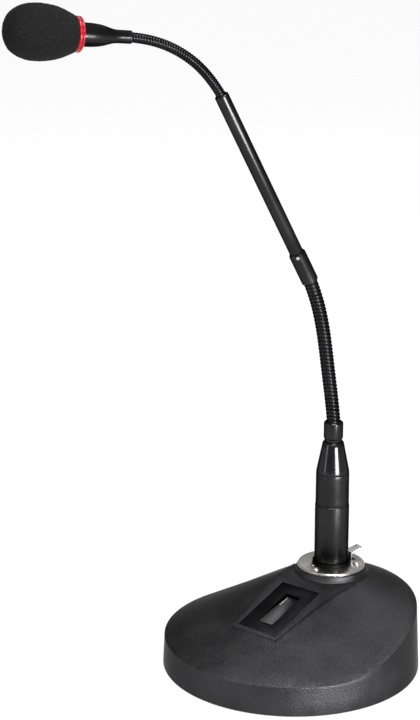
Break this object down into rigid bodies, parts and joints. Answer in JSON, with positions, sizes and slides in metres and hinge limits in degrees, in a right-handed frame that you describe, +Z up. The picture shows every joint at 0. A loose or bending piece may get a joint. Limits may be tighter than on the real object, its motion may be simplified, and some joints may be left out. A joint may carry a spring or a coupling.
{
  "type": "desktop microphone",
  "caption": "Desktop gooseneck microphone with a weighted round base, a press-to-talk bar, a two-stage flexible neck, a red light ring and a foam windscreen.",
  "frame": {"origin": "centre of the round base on the surface it stands on", "axes": "+Z up; -Y is the side the talk panel faces; the microphone socket stands at the rear on X = 0 and the neck leans forwards and to -X"},
  "size_m": [0.1583, 0.1995, 0.364],
  "materials": {
    "housing_coat": "fine textured powder coat",
    "bottom_steel": "satin black",
    "pad_rubber": "matte",
    "ballast_iron": "rough",
    "screw_zinc": "zinc plated",
    "screw_nickel": "nickel plated",
    "nickel_flange": "satin nickel",
    "socket_black": "matte moulded",
    "insert_black": "matte moulded",
    "contact_gold": "plated",
    "latch_nickel": "nickel plated",
    "panel_black": "fine matte",
    "lens_smoke": "clear gloss",
    "bar_black": "satin",
    "pin_steel": "ground",
    "plunger_black": "moulded",
    "switch_black": "moulded",
    "board_green": "solder mask",
    "output_nickel": "satin nickel",
    "barrel_black": "satin black",
    "seam_black": "matte",
    "cap_gloss": "gloss black",
    "ferrule_black": "gloss black",
    "neck_black": "black wound steel",
    "collar_black": "satin black",
    "tube_black": "satin black",
    "sleeve_black": "satin black",
    "ring_red": "translucent red",
    "lamp_red": "clear",
    "capsule_nickel": "nickel plated",
    "element_nickel": "nickel plated",
    "foam_black": "open-cell foam"
  },
  "bodies": {
    "base": {"base_housing": "housing_coat", "bottom_plate": "bottom_steel", "rubber_pad": "pad_rubber", "ballast_weight": "ballast_iron", "ballast_screws": "screw_zinc", "bottom_screws": "screw_zinc", "socket_flange": "nickel_flange", "socket_body": "socket_black", "socket_insert": "insert_black", "socket_contacts": "contact_gold", "flange_screws": "screw_nickel", "panel_bezel": "panel_black", "bar_hinge_pin": "pin_steel", "switch_body": "switch_black", "circuit_board": "board_green", "board_screws": "screw_zinc", "output_connector": "output_nickel", "output_pins": "contact_gold", "output_screws": "screw_nickel"},
    "talk_bar": {"talk_bar": "bar_black", "indicator_lens": "lens_smoke"},
    "switch_plunger": {"switch_plunger": "plunger_black"},
    "latch": {"latch_tab": "latch_nickel"},
    "microphone": {"plug_shell": "barrel_black", "preamp_tube": "barrel_black", "seam_ring": "seam_black", "plug_cap": "cap_gloss", "neck_ferrule": "ferrule_black", "plug_insert": "insert_black", "plug_pins": "contact_gold", "preamp_board": "board_green"},
    "lower_link_1": {"lower_neck_link_1": "neck_black"},
    "lower_link_2": {"lower_neck_link_2": "neck_black"},
    "lower_link_3": {"lower_neck_link_3": "neck_black"},
    "lower_link_4": {"lower_neck_link_4": "neck_black"},
    "lower_link_5": {"lower_neck_link_5": "neck_black"},
    "lower_link_6": {"lower_neck_link_6": "neck_black"},
    "middle_tube": {"neck_collar": "collar_black", "collar_set_screw": "screw_nickel", "middle_tube": "tube_black"},
    "upper_link_1": {"upper_neck_link_1": "neck_black"},
    "upper_link_2": {"upper_neck_link_2": "neck_black"},
    "upper_link_3": {"upper_neck_link_3": "neck_black"},
    "upper_link_4": {"upper_neck_link_4": "neck_black"},
    "upper_link_5": {"upper_neck_link_5": "neck_black"},
    "upper_link_6": {"upper_neck_link_6": "neck_black"},
    "head": {"capsule_sleeve": "sleeve_black", "light_ring": "ring_red", "lamp_board": "board_green", "ring_lamps": "lamp_red", "capsule_housing": "capsule_nickel", "capsule_element": "element_nickel", "foam_windscreen": "foam_black"}
  },
  "joints": [
    {"name": "talk_bar_press", "type": "hinge", "parent": "base", "child": "talk_bar", "pos_m": [0, 0.00041, 0.03398], "axis": [1, 0, 0], "range_deg": [0, 2.4], "stiffness_Nm_per_rad": 0.5, "springref_deg": -1.15},
    {"name": "plunger_press", "type": "slide", "parent": "base", "child": "switch_plunger", "axis": [0, 0.289, -0.9573], "range_m": [0, 0.0008]},
    {"name": "latch_release", "type": "hinge", "parent": "base", "child": "latch", "pos_m": [0.00435, 0.04726, 0.0388], "axis": [-0.9272, 0.3746, 0], "range_deg": [0, 6], "stiffness_Nm_per_rad": 0.4, "springref_deg": -1.15},
    {"name": "microphone_unplug", "type": "slide", "parent": "base", "child": "microphone", "axis": [0, 0, 1], "range_m": [0, 0.03]},
    {"name": "lower_neck_bend_1", "type": "hinge", "parent": "microphone", "child": "lower_link_1", "pos_m": [0, 0.0365, 0.13], "axis": [0.8988, -0.4384, 0], "range_deg": [-9, 9]},
    {"name": "lower_neck_sway_1", "type": "hinge", "parent": "lower_link_1", "child": "lower_link_2", "pos_m": [-0.00072, 0.03503, 0.14335], "axis": [-0.4344, -0.8906, -0.1349], "range_deg": [-9, 9]},
    {"name": "lower_neck_bend_2", "type": "hinge", "parent": "lower_link_2", "child": "lower_link_3", "pos_m": [-0.00159, 0.03324, 0.15665], "axis": [0.8988, -0.4384, 0], "range_deg": [-9, 9]},
    {"name": "lower_neck_sway_2", "type": "hinge", "parent": "lower_link_3", "child": "lower_link_4", "pos_m": [-0.00241, 0.03156, 0.16997], "axis": [-0.4336, -0.8889, -0.1478], "range_deg": [-9, 9]},
    {"name": "lower_neck_bend_3", "type": "hinge", "parent": "lower_link_4", "child": "lower_link_5", "pos_m": [-0.00333, 0.02967, 0.18326], "axis": [0.8988, -0.4384, 0], "range_deg": [-9, 9]},
    {"name": "lower_neck_sway_3", "type": "hinge", "parent": "lower_link_5", "child": "lower_link_6", "pos_m": [-0.00466, 0.02695, 0.19636], "axis": [-0.4203, -0.8618, -0.284], "range_deg": [-9, 9]},
    {"name": "lower_neck_bend_4", "type": "hinge", "parent": "lower_link_6", "child": "middle_tube", "pos_m": [-0.00668, 0.02281, 0.209], "axis": [0.8988, -0.4384, 0], "range_deg": [-9, 9]},
    {"name": "upper_neck_bend_1", "type": "hinge", "parent": "middle_tube", "child": "upper_link_1", "pos_m": [-0.03002, -0.02505, 0.31351], "axis": [0.8988, -0.4384, 0], "range_deg": [-9, 9]},
    {"name": "upper_neck_sway_1", "type": "hinge", "parent": "upper_link_1", "child": "upper_link_2", "pos_m": [-0.03252, -0.03017, 0.32149], "axis": [-0.3395, -0.696, -0.6327], "range_deg": [-9, 9]},
    {"name": "upper_neck_bend_2", "type": "hinge", "parent": "upper_link_2", "child": "upper_link_3", "pos_m": [-0.03545, -0.03617, 0.32866], "axis": [0.8988, -0.4384, 0], "range_deg": [-9, 9]},
    {"name": "upper_neck_sway_2", "type": "hinge", "parent": "upper_link_3", "child": "upper_link_4", "pos_m": [-0.03888, -0.04321, 0.33456], "axis": [-0.2371, -0.4862, -0.841], "range_deg": [-9, 9]},
    {"name": "upper_neck_bend_3", "type": "hinge", "parent": "upper_link_4", "child": "upper_link_5", "pos_m": [-0.04265, -0.05095, 0.33923], "axis": [0.8988, -0.4384, 0], "range_deg": [-9, 9]},
    {"name": "upper_neck_sway_3", "type": "hinge", "parent": "upper_link_5", "child": "upper_link_6", "pos_m": [-0.0467, -0.05925, 0.34251], "axis": [-0.1153, -0.2364, -0.9648], "range_deg": [-9, 9]},
    {"name": "upper_neck_bend_4", "type": "hinge", "parent": "upper_link_6", "child": "head", "pos_m": [-0.05092, -0.0679, 0.34438], "axis": [0.8988, -0.4384, 0], "range_deg": [-9, 9]}
  ],
  "couplings": [
    {"joint": "plunger_press", "follows": "talk_bar_press", "m_per_rad": 0.0178},
    {"joint": "lower_neck_bend_2", "follows": "lower_neck_bend_1", "ratio": 1},
    {"joint": "lower_neck_sway_2", "follows": "lower_neck_sway_1", "ratio": 1},
    {"joint": "lower_neck_bend_3", "follows": "lower_neck_bend_1", "ratio": 1},
    {"joint": "lower_neck_sway_3", "follows": "lower_neck_sway_1", "ratio": 1},
    {"joint": "lower_neck_bend_4", "follows": "lower_neck_bend_1", "ratio": 1},
    {"joint": "upper_neck_bend_2", "follows": "upper_neck_bend_1", "ratio": 1},
    {"joint": "upper_neck_sway_2", "follows": "upper_neck_sway_1", "ratio": 1},
    {"joint": "upper_neck_bend_3", "follows": "upper_neck_bend_1", "ratio": 1},
    {"joint": "upper_neck_sway_3", "follows": "upper_neck_sway_1", "ratio": 1},
    {"joint": "upper_neck_bend_4", "follows": "upper_neck_bend_1", "ratio": 1}
  ]
}
